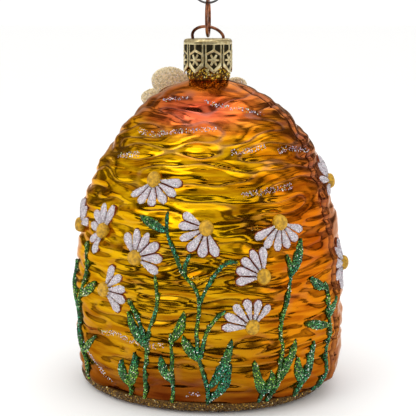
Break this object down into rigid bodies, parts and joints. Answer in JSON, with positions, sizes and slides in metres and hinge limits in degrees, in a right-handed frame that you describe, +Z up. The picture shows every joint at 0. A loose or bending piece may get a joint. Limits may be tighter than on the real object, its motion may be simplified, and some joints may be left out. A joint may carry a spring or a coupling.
{
  "type": "blown-glass beehive ornament",
  "caption": "Hanging ornament of silvered, amber-lacquered blown glass, shaped as a straw skep beehive with relief daisies and a bee, under a stamped cap with a wire loop, ring and hook.",
  "frame": {"origin": "middle of the flat foot, on the axis of the neck and cap", "axes": "+Z up along the neck, the wire loop and the hook lie in the XZ plane, -Y is the side with most of the daisies and +Y the side with the bee"},
  "size_m": [0.0937, 0.08, 0.1534],
  "materials": {
    "lacquered_mirror_glass": "silvered inside, amber lacquer outside, high gloss",
    "gold_glitter": "coarse dark-gold glitter",
    "stamped_cap_metal": "pale gold, stamped, satin",
    "bronzed_wire": "bronzed copper, satin",
    "dark_steel_wire": "drawn wire",
    "white_glitter": "fine white and lilac glitter",
    "mustard_enamel": "matt paint",
    "green_glitter": "green and teal glitter",
    "bee_enamel": "gloss paint, yellow and brown bands",
    "pearl_glitter": "beige pearl with fine glitter"
  },
  "bodies": {
    "ornament": {"base_glitter_band": "gold_glitter", "bee_abdomen": "bee_enamel", "bee_head": "bee_enamel", "bee_thorax": "bee_enamel", "bee_wing_lower_left": "pearl_glitter", "bee_wing_lower_right": "pearl_glitter", "bee_wing_upper_left": "pearl_glitter", "bee_wing_upper_right": "pearl_glitter", "daisy_01_centre": "mustard_enamel", "daisy_01_petals": "white_glitter", "daisy_02_centre": "mustard_enamel", "daisy_02_petals": "white_glitter", "daisy_03_centre": "mustard_enamel", "daisy_03_petals": "white_glitter", "daisy_04_centre": "mustard_enamel", "daisy_04_petals": "white_glitter", "daisy_05_centre": "mustard_enamel", "daisy_05_petals": "white_glitter", "daisy_06_centre": "mustard_enamel", "daisy_06_petals": "white_glitter", "daisy_07_centre": "mustard_enamel", "daisy_07_petals": "white_glitter", "daisy_08_centre": "mustard_enamel", "daisy_08_petals": "white_glitter", "daisy_09_centre": "mustard_enamel", "daisy_09_petals": "white_glitter", "daisy_10_centre": "mustard_enamel", "daisy_10_petals": "white_glitter", "daisy_11_centre": "mustard_enamel", "daisy_11_petals": "white_glitter", "daisy_12_centre": "mustard_enamel", "daisy_12_petals": "white_glitter", "daisy_13_centre": "mustard_enamel", "daisy_13_petals": "white_glitter", "daisy_14_centre": "mustard_enamel", "daisy_14_petals": "white_glitter", "glass_shell": "lacquered_mirror_glass", "leaf_pair_far_right": "green_glitter", "leaf_pair_left": "green_glitter", "leaf_pair_right": "green_glitter", "neck_glitter_band": "gold_glitter", "sprig_back_left": "green_glitter", "sprig_back_middle": "green_glitter", "sprig_back_right": "green_glitter", "sprig_left": "green_glitter", "sprig_left_edge": "green_glitter", "sprig_middle": "green_glitter", "sprig_right": "green_glitter", "sprig_right_edge": "green_glitter", "sprig_small_left": "green_glitter"},
    "cap": {"hanger_cap": "stamped_cap_metal", "cap_wire_loop": "bronzed_wire"},
    "ring": {"hanger_ring": "bronzed_wire"},
    "hook": {"tree_hook": "dark_steel_wire"}
  },
  "joints": [
    {"name": "cap_lift", "type": "slide", "parent": "ornament", "child": "cap", "axis": [0, 0, 1], "range_m": [0, 0.03]},
    {"name": "ring_tilt", "type": "hinge", "parent": "cap", "child": "ring", "pos_m": [0, 0, 0.11765], "axis": [0, 1, 0], "range_deg": [-80, 80]},
    {"name": "hook_swing", "type": "hinge", "parent": "ring", "child": "hook", "pos_m": [0, 0, 0.12945], "axis": [0, 1, 0], "range_deg": [-45, 45]}
  ]
}
